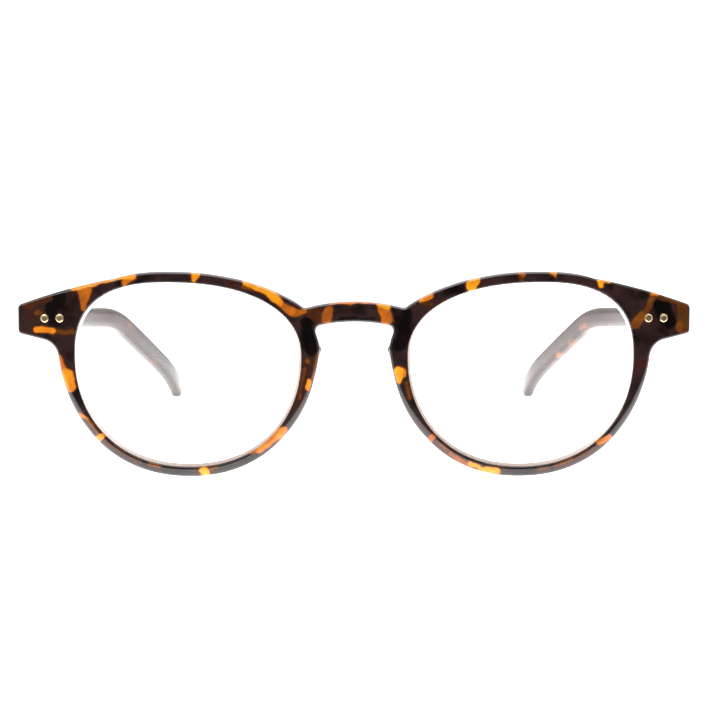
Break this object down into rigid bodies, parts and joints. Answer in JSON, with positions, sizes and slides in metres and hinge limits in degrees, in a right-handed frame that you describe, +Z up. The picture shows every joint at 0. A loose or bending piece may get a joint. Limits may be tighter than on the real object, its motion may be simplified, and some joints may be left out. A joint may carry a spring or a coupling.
{
  "type": "reading glasses",
  "caption": "Reading glasses with a tortoiseshell plastic frame, magnifying lenses and two temples that fold inward on riveted hinges.",
  "frame": {"origin": "on the table, under the middle of the object's box", "axes": "+X to the wearer's left, +Y from the front back to the temple tips, +Z up"},
  "size_m": [0.1428, 0.1484, 0.0433],
  "materials": {
    "tortoise_plastic": "dark brown tortoiseshell with amber patches, satin gloss",
    "lens": "clear, polished",
    "rivet_brass": "polished",
    "hinge_steel": "satin"
  },
  "bodies": {
    "front": {"front_frame": "tortoise_plastic", "lens_left": "lens", "lens_right": "lens", "nose_pad_left": "tortoise_plastic", "nose_pad_right": "tortoise_plastic", "front_hinge_leaf_left": "hinge_steel", "front_hinge_leaf_right": "hinge_steel", "front_rivet_inner_left": "rivet_brass", "front_rivet_outer_left": "rivet_brass", "front_rivet_inner_right": "rivet_brass", "front_rivet_outer_right": "rivet_brass", "hinge_screw_left": "hinge_steel", "hinge_screw_right": "hinge_steel"},
    "temple_left": {"temple_left": "tortoise_plastic", "temple_hinge_leaf_left": "hinge_steel", "temple_rivet_fore_left": "rivet_brass", "temple_rivet_aft_left": "rivet_brass", "core_wire_left": "hinge_steel"},
    "temple_right": {"temple_right": "tortoise_plastic", "temple_hinge_leaf_right": "hinge_steel", "temple_rivet_fore_right": "rivet_brass", "temple_rivet_aft_right": "rivet_brass", "core_wire_right": "hinge_steel"}
  },
  "joints": [
    {"name": "temple_left_fold", "type": "hinge", "parent": "front", "child": "temple_left", "pos_m": [0.06595, -0.0594, 0.03283], "axis": [0, 0.1036, 0.9946], "range_deg": [0, 82]},
    {"name": "temple_right_fold", "type": "hinge", "parent": "front", "child": "temple_right", "pos_m": [-0.06595, -0.0594, 0.03283], "axis": [0, -0.1036, -0.9946], "range_deg": [0, 77]}
  ]
}
